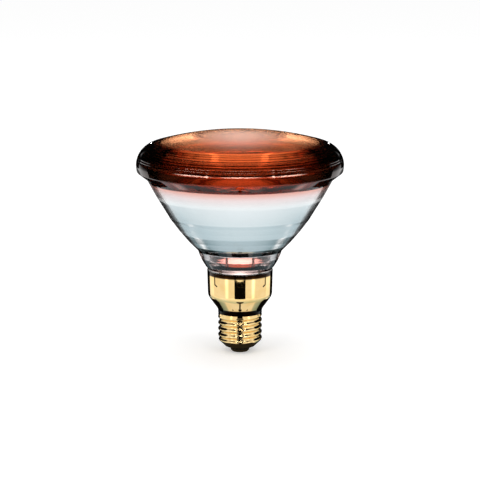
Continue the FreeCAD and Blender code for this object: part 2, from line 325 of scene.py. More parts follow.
def ruby_tint_and_painted_shade(tree):
    """Tint of the ruby glass with painted light and shade: bright and dark bands by height, partly the
    deeper red of the thick shoulder, and painted shade where the glass is seen edge-on.
    """
    # The stops by height paint bands of light and shade onto the glass; only the darkening in the thick
    # shoulder is the glass's own deeper red
    depth = colour_up(tree, SEAM_Z, lens_high.z, (
        (0.0, "#1C0501"), (0.20, "#5A1A0A"), (0.30, "#943018"), (0.40, "#1A0401"), (0.49, "#240601"),
        (0.58, "#803018"), (0.68, "#E08050"), (0.80, "#FFA874"), (1.0, colours().ruby)))
    place = add_node(tree, "ShaderNodeTexCoord").outputs["Object"]
    flat = add_node(tree, "ShaderNodeVectorMath", {1: (1, 1, 0)}, {0: place}, operation="MULTIPLY")
    outward = add_node(tree, "ShaderNodeVectorMath", links={0: flat.outputs[0]}, operation="NORMALIZE")
    # Painted shade: darker where the glass is seen edge-on, below the dome's top
    side = add_node(tree, "ShaderNodeLayerWeight", {"Blend": 0.5}, {"Normal": outward.outputs[0]})
    painted_edge_shade = add_node(
        tree, "ShaderNodeMapRange", {"From Min": 0.22, "From Max": 0.42}, {"Value": side.outputs["Facing"]},
        interpolation_type="SMOOTHSTEP")
    split = add_node(tree, "ShaderNodeSeparateXYZ", links={0: place})
    low = add_node(
        tree, "ShaderNodeMapRange",
        {"From Min": lens_high.z - 3 * MM, "From Max": lens_high.z - 7 * MM}, {"Value": split.outputs["Z"]},
        interpolation_type="SMOOTHSTEP")
    both = add_node(
        tree, "ShaderNodeMath", links={0: painted_edge_shade.outputs["Result"], 1: low.outputs["Result"]},
        operation="MULTIPLY")
    deep = add_node(
        tree, "ShaderNodeMix", {7: opaque(linear("#0A0402"))}, {0: both.outputs[0], 6: depth},
        data_type="RGBA")
    return add_node(
        tree, "ShaderNodeMix", {0: 1}, {6: deep.outputs[2], 7: painted_ring_shade(tree, flat, split)},
        data_type="RGBA", blend_type="MULTIPLY").outputs[2]


def painted_ring_shade(tree, flat, split):
    """Painted shade: darker lines over the rings inside the lens, on the part that faces up, partly where
    the rings thicken the glass.
    """
    shoulder_r, shoulder_z = shoulder_centre()
    radius = add_node(tree, "ShaderNodeVectorMath", links={0: flat.outputs[0]}, operation="LENGTH")
    out = add_node(
        tree, "ShaderNodeMath", {1: shoulder_r}, {0: radius.outputs["Value"]}, operation="SUBTRACT")
    up = add_node(tree, "ShaderNodeMath", {1: shoulder_z}, {0: split.outputs["Z"]}, operation="SUBTRACT")
    angle = add_node(
        tree, "ShaderNodeMath", links={0: up.outputs[0], 1: out.outputs[0]}, operation="ARCTAN2")
    rate = math.tau * RING_COUNT / (RING_END - RING_START)
    turns = add_node(
        tree, "ShaderNodeMath", {1: rate, 2: -RING_START * rate}, {0: angle.outputs[0]},
        operation="MULTIPLY_ADD")
    wave = add_node(tree, "ShaderNodeMath", links={0: turns.outputs[0]}, operation="COSINE")
    middle, reach = math.radians(53), math.radians(26)
    within = add_node(
        tree, "ShaderNodeMath", {1: middle, 2: reach}, {0: angle.outputs[0]}, operation="COMPARE")
    lines = add_node(
        tree, "ShaderNodeMath", links={0: wave.outputs[0], 1: within.outputs[0]}, operation="MULTIPLY")
    # Painted shade lines, darkest over each ring
    ramp = add_node(tree, "ShaderNodeValToRGB", links={"Fac": lines.outputs[0]})
    fill_ramp(ramp, ((0.0, "#FFFFFF"), (0.9, "#54342C")))
    return ramp.outputs["Color"]


# Selenium ruby glass, pressed in a mould and fire-polished: deep red, with a faint ripple
def ruby_glass():
    def detail(tree):
        return {
            "Base Color": ruby_tint_and_painted_shade(tree),
            "Roughness": uneven_gloss(tree, 0.0, 0.03, 5 * MM),
            "Normal": uneven_face(tree, 0.03 * MM, 9 * MM),
        }
    return new_material("ruby glass", {
        "Transmission Weight": 1,
        "IOR": RUBY_IOR,
        "Specular Tint": opaque(linear("#C8A090")),
    }, detail)


# The lens's inner face, stippled by the plunger in a disc round its centre
def stippled_ruby_glass():
    def detail(tree):
        place = add_node(tree, "ShaderNodeTexCoord")
        flat = add_node(
            tree, "ShaderNodeVectorMath", {1: (1, 1, 0)}, {0: place.outputs["Object"]},
            operation="MULTIPLY")
        radius = add_node(tree, "ShaderNodeVectorMath", links={0: flat.outputs[0]}, operation="LENGTH")
        disc = add_node(
            tree, "ShaderNodeMapRange",
            {"From Min": 24 * MM, "From Max": 28 * MM, "To Min": 1, "To Max": 0},
            {"Value": radius.outputs["Value"]})
        cells = add_node(
            tree, "ShaderNodeTexVoronoi", {"Scale": 1 / (1.2 * MM)}, {"Vector": flat.outputs[0]},
            feature="F1")
        dots = add_node(
            tree, "ShaderNodeMath", links={0: cells.outputs["Distance"], 1: disc.outputs["Result"]},
            operation="MULTIPLY")
        bump = add_node(
            tree, "ShaderNodeBump", {"Strength": 1, "Distance": 0.05 * MM}, {"Height": dots.outputs[0]})
        return {"Normal": bump.outputs["Normal"]}
    return new_material("stippled ruby glass", {
        "Base Color": opaque(colours().ruby),
        "Transmission Weight": 1,
        "IOR": RUBY_IOR,
        "Roughness": 0.03,
    }, detail)


# Borosilicate glass, pressed: clear with the mould's slow ripple, a little green at the heel, and warm
# in the neck with a painted reflection of the red lens
def clear_glass():
    def detail(tree):
        return {
            # The pinkish stops in the neck are a painted reflection of the red lens
            "Base Color": colour_up(tree, LIP_Z, SEAM_Z, (
                (0.0, "#DDE6E4"), (0.06, "#FBE6E2"), (0.20, "#FBE6E2"), (0.24, colours().clear),
                (1.0, colours().clear))),
            "Roughness": uneven_gloss(tree, 0.0, 0.03, 6 * MM),
            "Normal": uneven_face(tree, 0.04 * MM, 12 * MM),
        }
    return new_material("clear pressed glass", {"Transmission Weight": 1, "IOR": CLEAR_IOR}, detail)


# Aluminium, evaporated onto the glass in a vacuum: a mirror with slight clouding, and a painted
# reflection of the red lens near the seam and the neck
def mirror_coating():
    def detail(tree):
        return {
            # The reddish stops at both ends are a painted reflection of the red lens
            "Base Color": colour_up(tree, LIP_Z, SEAM_Z, (
                (0.0, "#C88C80"), (0.09, "#C88C80"), (0.12, colours().mirror), (0.84, colours().mirror),
                (0.93, "#F4DCDA"), (1.0, "#EEA696"))),
            "Roughness": uneven_gloss(tree, 0.05, 0.14, 8 * MM),
        }
    return new_material("aluminised mirror", {"Metallic": 1}, detail)


# Painted shade, near black, in the corner between the bowl's floor and its neck, on a metal finish
def painted_corner_shade():
    def detail(tree):
        return {
            "Base Color": uneven_colour(tree, "#0B0B0C", "#1E1C1B", 3 * MM),
            "Roughness": uneven_gloss(tree, 0.2, 0.4, 2 * MM),
        }
    return new_material("painted shade in the neck corner", {"Metallic": 1}, detail)


# Cartridge brass, drawn and buffed: warm gold with dulled patches. The buff's lines round the axis are
# finer than 0.1 mm, and are drawn 0.25 mm apart so that they show. The one with painted shade is for the
# skirt: painted shade, near black, in the groove above the thread, and a painted dark band along the lip
def polished_brass(with_painted_shade=False):
    def detail(tree):
        lines = (0.25 * MM, 3, (0.04, 0.04, 1))
        metal = uneven_colour(tree, colours().tarnish, colours().brass, 7 * MM, 4)
        if with_painted_shade:
            # Painted shade: near black in the groove at the collar and a dark band along the lip
            painted_shade_bands = colour_up(tree, COLLAR_Z, LIP_Z, (
                (0.0, "#0A0503"), (0.12, "#0A0503"), (0.135, "#FFFFFF"), (0.90, "#FFFFFF"),
                (0.925, "#2A1C0E"), (1.0, "#140C06")))
            shaded_metal = add_node(
                tree, "ShaderNodeMix", {0: 1}, {6: metal, 7: painted_shade_bands}, data_type="RGBA", blend_type="MULTIPLY")
            metal = shaded_metal.outputs[2]
        return {
            "Base Color": metal,
            "Roughness": uneven_gloss(tree, 0.02, 0.06, *lines),
            "Normal": uneven_face(tree, 0.001 * MM, *lines),
        }
    return new_material("buffed brass", {"Metallic": 1}, detail)


# The same brass on the skirt's inner side and in its slits, dark brown as painted shade
def painted_shade_brass():
    def detail(tree):
        return {
            "Base Color": uneven_colour(tree, "#1C1209", "#3A2814", 2 * MM, 4),
            "Roughness": uneven_gloss(tree, 0.35, 0.6, 0.8 * MM),
        }
    return new_material("brass in painted shade", {"Metallic": 1}, detail)


# Black lead glass, poured hot: opaque and glossy, with a slight unevenness
def black_glass():
    def detail(tree):
        return {
            "Roughness": uneven_gloss(tree, 0.08, 0.22, 3 * MM),
            "Normal": uneven_face(tree, 0.08 * MM, 4 * MM),
        }
    return new_material(
        "black poured glass", {"Base Color": opaque(linear("#060506")), "IOR": BLACK_IOR}, detail)


# Soft solder, melted on: dull grey tin with a wrinkled skin
def soft_solder():
    def detail(tree):
        return {
            "Base Color": uneven_colour(tree, "#8F8E8A", "#C9C8C4", 0.8 * MM),
            "Roughness": uneven_gloss(tree, 0.25, 0.5, 0.5 * MM),
            "Normal": uneven_face(tree, 0.05 * MM, 0.6 * MM),
        }
    return new_material("soft solder", {"Metallic": 1}, detail)


# Nickel wire and nickel-iron cups, drawn and oxidised a little by the seal's flame
def drawn_nickel():
    def detail(tree):
        return {
            "Base Color": uneven_colour(tree, "#8C8981", "#C6C2B8", 2 * MM),
            "Roughness": uneven_gloss(tree, 0.2, 0.4, 0.6 * MM),
        }
    return new_material("drawn nickel", {"Metallic": 1}, detail)


# Tungsten wire, wound into a coil: dark grey with a matt skin
def tungsten_wire():
    def detail(tree):
        return {
            "Base Color": uneven_colour(tree, "#55565A", "#85868A", 0.7 * MM),
            "Roughness": uneven_gloss(tree, 0.35, 0.55, 0.4 * MM),
        }
    return new_material("tungsten wire", {"Metallic": 1}, detail)


# Shapes of the glass
def bowl_outer(height):
    """Outside radius of the bowl at a height, on its parabola."""
    vertex = SEAM_Z - sizes().vertex_drop
    return 2 * math.sqrt(sizes().focal_length * (height - vertex))


def bowl_inner(height):
    """Inside radius of the bowl at a height, a wall inside the parabola."""
    outer = bowl_outer(height)
    return outer - sizes().bowl_wall * math.hypot(1, 2 * sizes().focal_length / outer)


def dome_height(radius, inset):
    """Height of the lens's dome at a radius, on a sphere an inset smaller than its outside."""
    dome_radius = sizes().dome_radius
    return lens_high.z - dome_radius + math.sqrt((dome_radius - inset) ** 2 - radius ** 2)


def shoulder_centre():
    """Radius and height of the middle of the lens shoulder's round section."""
    s = sizes()
    radius = lens_high.x - s.shoulder_radius
    rise = math.sqrt((s.dome_radius - s.shoulder_radius) ** 2 - radius ** 2)
    return radius, lens_high.z - s.dome_radius + rise


class LAMP_OT_lens(bpy.types.Operator):
    """Red front lens with its shoulder, upright rim, bevel and inner rings"""
    bl_idname = "heat_lamp.lens"
    bl_label = "Front lens"

    def execute(self, context):
        lens = spun("lens", self.outside() + self.inside(), GLASS_TURN, closed=False)
        paint(lens, ruby_glass(), stippled_ruby_glass())
        for face in lens.data.polygons:
            radius = math.hypot(face.center.x, face.center.y)
            face.material_index = 1 if self.is_inner(radius, face.center.z) else 0
        smooth(lens, 40)
        take_over(lens, "front_lens")
        return {"FINISHED"}

    def outside(self):
        """Profile from the dome's middle over the shoulder and down the rim to the seam."""
        s = sizes()
        shoulder = shoulder_centre()
        dome_steps = 20
        meeting = math.atan2(shoulder[1] - lens_high.z + s.dome_radius, shoulder[0])
        dome_end = s.dome_radius * math.cos(meeting)
        radii = [dome_end * i / dome_steps for i in range(dome_steps)]
        line = [(radius, dome_height(radius, 0)) for radius in radii]
        line += arc(shoulder, s.shoulder_radius, math.degrees(meeting), 26, 9)
        # Angle in degrees and depth in millimetres, with fine grooves at 22 and at 16 degrees
        lower_shoulder = (
            (23.5, 0), (22, 0.25), (20.5, 0), (17.5, 0), (16, 0.25), (14.5, 0), (11, 0), (7, 0), (3, 0),
            (0, 0))
        for degrees, depth in lower_shoulder:
            line.append(swung(shoulder, s.shoulder_radius - depth * MM, degrees))
        rim = softened([
            line[-1],
            (lens_high.x - 0.35 * MM, SEAM_Z + 5.4 * MM),
            (SEAM_RADIUS + 0.8 * MM, SEAM_Z + 1.1 * MM),
            (SEAM_RADIUS, SEAM_Z),
        ], 0.6 * MM)
        return line[:-1] + rim

    def inside(self):
        """Profile from the seam up over the rings and along the dome's inside to its middle."""
        s = sizes()
        shoulder = shoulder_centre()
        thick_wall = 5.2 * MM
        line = [(bowl_inner(SEAM_Z), SEAM_Z)]
        for index in range(RING_COUNT * RING_STEPS + 1):
            angle = RING_START + (RING_END - RING_START) * index / (RING_COUNT * RING_STEPS)
            rise = s.ring_height * abs(math.sin(math.pi * index / RING_STEPS))
            line.append(swung(shoulder, s.shoulder_radius - thick_wall - rise, math.degrees(angle)))
        flat_steps = 16
        flat_r = line[-1][0] - 2 * MM
        radii = [flat_r * (1 - i / flat_steps) for i in range(flat_steps + 1)]
        return line + [(radius, dome_height(radius, s.lens_wall)) for radius in radii]

    def is_inner(self, radius, height):
        """Whether a face belongs to the inside, by a line through the middle of the wall."""
        shoulder_r, shoulder_z = shoulder_centre()
        if height < shoulder_z:
            wall_middle, slope = 1.8 * MM, 0.67
            return radius < SEAM_RADIUS - wall_middle + slope * (height - SEAM_Z)
        if radius > shoulder_r:
            reach = math.hypot(radius - shoulder_r, height - shoulder_z)
            return reach < sizes().shoulder_radius - 2 * MM
        return height < dome_height(radius, 1.5 * MM)


class LAMP_OT_bowl(bpy.types.Operator):
    """Clear bowl, banded outside, with its mirror coating inside above the neck"""
    bl_idname = "heat_lamp.bowl"
    bl_label = "Reflector bowl"

    def execute(self, context):
        vertex = SEAM_Z - sizes().vertex_drop
        # Heights of the bands' edges, which all lie on the parabola
        edges = [vertex + rise * MM for rise in (53.0, 43.4, 32.7, 23.4, 16.1, 11.6)]
        outside = [(bowl_outer(height), height) for height in edges]
        # The ledge below the third edge, spread wide because a sharp one shows as a double line
        ledge_z = edges[2] - 2.4 * MM
        outside.insert(3, (bowl_outer(ledge_z) + 0.15 * MM, ledge_z))
        neck_z = edges[-1]
        heel_r = skirt_high.x - 0.7 * MM
        heel_low_r = heel_r - 0.33 * MM
        outside += [
            (bowl_outer(neck_z) - 0.5 * MM, neck_z - 0.5 * MM),
            (23.9 * MM, neck_z - 3.6 * MM),
            (22.3 * MM, LIP_Z + 5.7 * MM),
            (20.4 * MM, LIP_Z + 2.6 * MM),
            (heel_r, LIP_Z + 0.8 * MM),
            (heel_low_r, bowl_low.z),
        ]
        # Wall of the heel and of the web that closes the bowl's foot
        heel_wall = 3.6 * MM
        web_top = LIP_Z + 3.9 * MM
        underside = softened([
            (heel_low_r, bowl_low.z),
            (heel_low_r - heel_wall, bowl_low.z),
            (heel_low_r - heel_wall, web_top - heel_wall),
            (0, web_top - heel_wall),
        ], 0.8 * MM)
        floor_r = 15.5 * MM
        corner_r = (bowl_inner(neck_z) + floor_r) / 2 + 1 * MM
        corner_z = (neck_z + web_top) / 2
        shelf = [
            (0, web_top),
            (floor_r, web_top),
            (floor_r + 0.6 * (corner_r - floor_r), web_top + 0.6 * (corner_z - web_top)),
            (corner_r, corner_z),
        ]
        inside = [(bowl_inner(height), height) for height in edges[::-1]]
        profile = softened(outside, 0.5 * MM)[:-1] + underside + softened(shelf + inside, 0.7 * MM)
        bowl = spun("bowl", profile, GLASS_TURN)
        paint(bowl, clear_glass(), mirror_coating(), painted_corner_shade())
        coating_foot = neck_z - 1 * MM
        corner_shade_top = web_top + 2.2 * MM
        for face in bowl.data.polygons:
            height = face.center.z
            radius = math.hypot(face.center.x, face.center.y)
            towards_axis = face.normal.x * face.center.x + face.normal.y * face.center.y < 0
            coated = towards_axis and height > coating_foot and radius > floor_r
            floor = face.normal.z > 0.9 and radius < floor_r and height > web_top - 0.1 * MM
            # Faces of painted shade in the corner above the web
            in_corner_shade = towards_axis and radius > floor_r - 0.5 * MM and web_top < height < corner_shade_top
            face.material_index = 2 if in_corner_shade else 1 if coated or floor else 0
        smooth(bowl, 14)
        take_over(bowl, "reflector_bowl")
        return {"FINISHED"}


class LAMP_OT_skirt(bpy.types.Operator):
    """Drawn brass skirt with its rolled lip, cone, collar and hooked slits"""
    bl_idname = "heat_lamp.skirt"
    bl_label = "Cap skirt"

    def execute(self, context):
        radius = skirt_high.x
        collar_r = 13.05 * MM
        corner_r = radius - 0.4 * MM
        cone_z = COLLAR_Z + 2.27 * MM
        cone_slope = math.tan(math.radians(54))
        line = softened([
            (collar_r, COLLAR_Z),
            (collar_r, cone_z),
            (corner_r, cone_z + (corner_r - collar_r) * cone_slope),
            (radius - 0.05 * MM, LIP_Z - 1.2 * MM),
            (radius, LIP_Z),
        ], 2.0 * MM, 6)
        skirt = spun("skirt", line, SKIRT_TURN, closed=False)
        apply_modifier(skirt, "SOLIDIFY", thickness=sizes().skirt_sheet, offset=-1)
        for turn in (0, math.pi):
            for side in (-1, 1):
                cutter = slit_cutter(side, side * math.radians(50) + turn)
                apply_modifier(skirt, "BOOLEAN", operation="DIFFERENCE", object=cutter, solver="EXACT")
                bpy.data.objects.remove(cutter)
        paint(skirt, polished_brass(True), painted_shade_brass())
        # Inner faces and the slits' walls get the brass in painted shade
        for face in skirt.data.polygons:
            outward = face.normal.x * face.center.x + face.normal.y * face.center.y
            turned_away = outward < 0.3 * math.hypot(face.center.x, face.center.y)
            below_lip = face.center.z < LIP_Z - 0.1 * MM
            face.material_index = 1 if turned_away and below_lip else 0
        smooth(skirt, 30)
        take_over(skirt, "cap_skirt")
        return {"FINISHED"}


def slit_cutter(hand, turn):
    """Bar for one slit: a plane's edges extruded down, off to one side, then made thick."""
    deselect()
    # The real slit is 0.7 mm wide, and is cut wider so that it shows
    width = 0.85 * MM
    top = LIP_Z - 1.4 * MM
    start_y = skirt_high.x - 3 * MM
    bpy.ops.mesh.primitive_plane_add(size=MM, location=(0, start_y, top))
    cutter = bpy.context.object
    bpy.ops.object.mode_set(mode="EDIT")
    bpy.ops.mesh.merge(type="CENTER")
    for move in ((0, 0, -5.2 * MM), (hand * 2 * MM, 0, -MM)):
        bpy.ops.mesh.extrude_vertices_move(TRANSFORM_OT_translate={"value": move})
    bpy.ops.mesh.select_all(action="SELECT")
    bpy.ops.mesh.extrude_edges_move(TRANSFORM_OT_translate={"value": (0, 6 * MM, 0)})
    bpy.ops.object.mode_set(mode="OBJECT")
    bpy.ops.object.transform_apply(location=True, rotation=True, scale=True)
    apply_modifier(cutter, "SOLIDIFY", thickness=width, offset=0, use_even_offset=True)
    cutter.rotation_euler.z = turn
    bpy.ops.object.transform_apply(location=False, rotation=True, scale=False)
    return cutter


class LAMP_OT_shell(bpy.types.Operator):
    """Brass screw shell with its rolled thread, curled lip and swaged neck"""
    bl_idname = "heat_lamp.shell"
    bl_label = "Screw shell"

    def execute(self, context):
        s = sizes()
        crest = shell_high.x
        curl_z = 8.4 * MM
        curl_r = 2.2 * MM
        neck_r = 12.6 * MM
        top_z = COLLAR_Z - 1.2 * MM
        rows = 72
        line = [(8.9 * MM, shell_low.z)]
        line += arc((crest - curl_r, curl_z), curl_r, -46, 0, 6)
        line += [(crest, curl_z + (top_z - curl_z) * i / rows) for i in range(1, rows + 1)]
        line += [(neck_r, COLLAR_Z - 0.3 * MM), (neck_r, shell_high.z - 0.1 * MM)]
        shell = spun("shell", line, SHELL_TURN, closed=False)
        # The thread, pressed in between two heights and fading out towards both
        start, end = curl_z - 1.4 * MM, top_z - 0.1 * MM
        for vertex in shell.data.vertices:
            x, y, z = vertex.co
            if not start < z < end:
                continue
            phase = (z - curl_z) / s.thread_pitch - math.atan2(y, x) / math.tau
            ridge = 0.5 + 0.5 * math.cos(math.tau * phase)
            fade = min(1, (z - start) / (1.6 * MM), (end - z) / (1.2 * MM))
            radius = math.hypot(x, y)
            share = 1 - s.thread_depth * (1 - ridge) * fade / radius
            vertex.co.x = x * share
            vertex.co.y = y * share
        apply_modifier(shell, "SOLIDIFY", thickness=0.3 * MM, offset=-1)
        paint(shell, polished_brass())
        smooth(shell, 50)
        take_over(shell, "screw_shell")
        return {"FINISHED"}


class LAMP_OT_insulator(bpy.types.Operator):
    """Black glass button between the shell and the contact"""
    bl_idname = "heat_lamp.insulator"
    bl_label = "Insulator"

    def execute(self, context):
        hole_r = 2.05 * MM
        line = softened([
            (hole_r, insulator_high.z),
            (insulator_high.x - 1.1 * MM, insulator_high.z),
            (10.5 * MM, 6.9 * MM),
            (8.4 * MM, 4.1 * MM),
            (contact_high.x + 0.05 * MM, insulator_low.z),
            (hole_r, insulator_low.z),
        ], 0.5 * MM)
        insulator = spun("insulator_button", line, BUTTON_TURN)
        paint(insulator, black_glass())
        smooth(insulator, 40)
        take_over(insulator, "insulator")
        return {"FINISHED"}


class LAMP_OT_filament(bpy.types.Operator):
    """Tungsten wire coiled from post to post over the supports"""
    bl_idname = "heat_lamp.filament"
    bl_label = "Filament"

    def execute(self, context):
        wire = 0.12 * MM
        coil = (filament_high.z - filament_low.z) / 2 - wire
        middle_z = (filament_high.z + filament_low.z) / 2
        ring = -filament_low.y - coil - wire
        # A half ring of four straight spans, cut short at both ends where the posts hold it
        places = [
            Vector((ring * math.cos(angle), ring * math.sin(angle), middle_z))
            for angle in (math.pi * (1 + i / 4) for i in range(5))]
        cut = 0.27
        places[0] = places[0].lerp(places[1], cut)
        places[-1] = places[-1].lerp(places[-2], cut)
        turn_steps = 12
        points = []
        for start, end in zip(places, places[1:]):
            along = (end - start).normalized()
            across = along.cross(Vector((0, 0, 1)))
            steps = round((end - start).length / sizes().coil_pitch) * turn_steps
            for index in range(steps):
                angle = math.tau * index / turn_steps
                centre = start.lerp(end, index / steps)
                points.append(centre + (across * math.cos(angle) + Vector((0, 0, math.sin(angle)))) * coil)
        curve = bpy.data.curves.new("filament_coil", "CURVE")
        curve.dimensions = "3D"
        curve.bevel_depth = wire
        curve.bevel_resolution = 1
        spline = curve.splines.new("POLY")
        spline.points.add(len(points) - 1)
        for point, place in zip(spline.points, points):
            point.co = (*place, 1)
        coil_piece = bpy.data.objects.new("filament_coil", curve)
        bpy.context.scene.collection.objects.link(coil_piece)
        select_only(coil_piece)
        bpy.ops.object.convert(target="MESH")
        paint(coil_piece, tungsten_wire())
        smooth(coil_piece, 60)
        take_over(coil_piece, "filament")
        return {"FINISHED"}


class LAMP_OT_solder(bpy.types.Operator):
    """Drop of solder where the lead comes out through the cone"""
    bl_idname = "heat_lamp.solder"
    bl_label = "Shell solder"

    def execute(self, context):
        deselect()
        middle = (solder_low + solder_high) / 2
        reach = (solder_high - solder_low) / 2
        bpy.ops.mesh.primitive_uv_sphere_add(segments=32, ring_count=16, radius=1, location=middle)
        drop = bpy.context.object
        drop.name = "solder_drop"
        drop.scale = reach * 0.98
        bpy.ops.object.transform_apply(location=True, rotation=True, scale=True)
        paint(drop, soft_solder())
        smooth(drop, 60)
        take_over(drop, "shell_solder")
        return {"FINISHED"}


class LAMP_OT_small_parts(bpy.types.Operator):
    """Finishes of the pieces that keep their CAD shape"""
    bl_idname = "heat_lamp.small_parts"
    bl_label = "Small parts"

    def execute(self, context):
        finishes = (
            (drawn_nickel(), (
                "ferrule_left", "ferrule_right", "lead_post_left", "lead_post_right", "contact_lead",
                "shell_lead", "filament_support_1", "filament_support_2", "filament_support_3")),
            (polished_brass(), ("centre_contact",)),
            (soft_solder(), ("contact_solder",)),
            (clear_glass(), ("exhaust_tip", "glass_bridge")),
        )
        for finish, names in finishes:
            for name in names:
                paint(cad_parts[name], finish)
        return {"FINISHED"}


class LAMP_OT_stage(bpy.types.Operator):
    """Pale floor, studio lights, reflector cards and the camera"""
    bl_idname = "heat_lamp.stage"
    bl_label = "Stage"

    def execute(self, context):
        floor = stage_sheet("floor", (0, 0, 0), (60, 60), (0, 0, 0), floor_finish())
        floor.visible_glossy = False
        floor.visible_transmission = False
        for light in studio_lights():
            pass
        for card in studio_cards():
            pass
        white_world()
        photo_camera()
        bpy.context.scene.view_settings.view_transform = "Standard"
        return {"FINISHED"}


def stage_sheet(name, place, extent, turn, material):
    """Flat rectangle of the studio."""
    deselect()
    bpy.ops.mesh.primitive_plane_add(size=1, location=place, rotation=turn)
    sheet = bpy.context.object
    sheet.name = name
    sheet.scale = (*extent, 1)
    paint(sheet, material)
    return sheet


def hidden_sheet(name, place, extent, turn, material):
    """Sheet that only gloss and glass see. A glow is for the glass alone."""
    sheet = stage_sheet(name, place, extent, turn, material)
    sheet.visible_camera = False
    sheet.visible_diffuse = False
    sheet.visible_shadow = False
    sheet.visible_transmission = name in SEEN_THROUGH
    sheet.visible_glossy = not name.endswith("_glow")
    return sheet


def seen_background(tree):
    """One for rays from the camera, from gloss and through glass, else nought."""
    path = add_node(tree, "ShaderNodeLightPath")
    gloss = add_node(
        tree, "ShaderNodeMath",
        links={0: path.outputs["Is Camera Ray"], 1: path.outputs["Is Glossy Ray"]}, operation="MAXIMUM")
    glass = add_node(
        tree, "ShaderNodeMath", links={0: gloss.outputs[0], 1: path.outputs["Is Transmission Ray"]},
        operation="MAXIMUM")
    return glass.outputs[0]


def floor_finish():
    """White seamless paper that shows near white and keeps the lamp's shadow."""
    material, tree = empty_material("white paper")
    paper = add_node(tree, "ShaderNodeBsdfDiffuse", {"Color": (0.9, 0.9, 0.9, 1)})
    path = add_node(tree, "ShaderNodeLightPath")
    lift = add_node(
        tree, "ShaderNodeMath", {1: 0.3}, {0: path.outputs["Is Camera Ray"]}, operation="MULTIPLY")
    glow = add_node(tree, "ShaderNodeEmission", links={"Strength": lift.outputs[0]})
    both = add_node(tree, "ShaderNodeAddShader", links={0: paper.outputs[0], 1: glow.outputs[0]})
    add_node(tree, "ShaderNodeOutputMaterial", links={"Surface": both.outputs[0]})
    return material


def graded_finish():
    """Paper as gloss and glass show it: white far out, with the lamp's shadow painted as a dark pool behind
    it.
    """
    material, tree = empty_material("graded paper")
    place = add_node(tree, "ShaderNodeTexCoord")
    stretched = add_node(
        tree, "ShaderNodeMapping", {"Scale": (2.2, 2, 2)}, {"Vector": place.outputs["Object"]})
    offset = add_node(
        tree, "ShaderNodeVectorMath", {1: (0, -105 * MM, 0)}, {0: stretched.outputs["Vector"]},
        operation="ADD")
    away = add_node(tree, "ShaderNodeVectorMath", links={0: offset.outputs[0]}, operation="LENGTH")
    share = add_node(tree, "ShaderNodeMapRange", {"From Max": 400 * MM}, {"Value": away.outputs["Value"]})
    ramp = add_node(tree, "ShaderNodeValToRGB", links={"Fac": share.outputs["Result"]})
    # Dark stops round the middle are the lamp's painted shadow
    fill_ramp(ramp, (
        (0.0, "#0A1214"), (0.18, "#14201F"), (0.22, "#3F5254"), (0.26, "#82979D"), (0.30, "#A6B6BC"),
        (0.36, "#B4C5CB"), (0.41, "#CBD7DB"), (0.47, "#E2E8EB"), (0.53, "#ECEFF0"), (0.70, "#FFFFFF")))
    glow = add_node(tree, "ShaderNodeEmission", {"Strength": 1.3}, {"Color": ramp.outputs["Color"]})
    add_node(tree, "ShaderNodeOutputMaterial", links={"Surface": glow.outputs[0]})
    return material


def card_finish(name, level, softness=0):
    """Studio card of one brightness, with an oval soft edge where it has a softness."""
    material, tree = empty_material(name)
    glow = add_node(tree, "ShaderNodeEmission", {"Color": (1, 1, 1, 1), "Strength": level})
    if not softness:
        add_node(tree, "ShaderNodeOutputMaterial", links={"Surface": glow.outputs[0]})
        return material
    place = add_node(tree, "ShaderNodeTexCoord")
    stretched = add_node(
        tree, "ShaderNodeMapping", {"Scale": (2, 2, 2)}, {"Vector": place.outputs["Object"]})
    oval = add_node(
        tree, "ShaderNodeTexGradient", links={"Vector": stretched.outputs["Vector"]},
        gradient_type="SPHERICAL")
    edge = add_node(
        tree, "ShaderNodeMapRange", {"From Max": softness}, {"Value": oval.outputs["Fac"]},
        interpolation_type="SMOOTHSTEP")
    clear = add_node(tree, "ShaderNodeBsdfTransparent")
    mixed = add_node(
        tree, "ShaderNodeMixShader",
        links={0: edge.outputs["Result"], 1: clear.outputs[0], 2: glow.outputs[0]})
    add_node(tree, "ShaderNodeOutputMaterial", links={"Surface": mixed.outputs[0]})
    return material


def both_sides(plan):
    """Rows of a plan. One whose name has a gap stands for a card on the left and one on the right."""
    for name, across, *rest in plan:
        if "{}" in name:
            yield name.format("left"), -across, *rest
            yield name.format("right"), across, *rest
        else:
            yield name, across, *rest


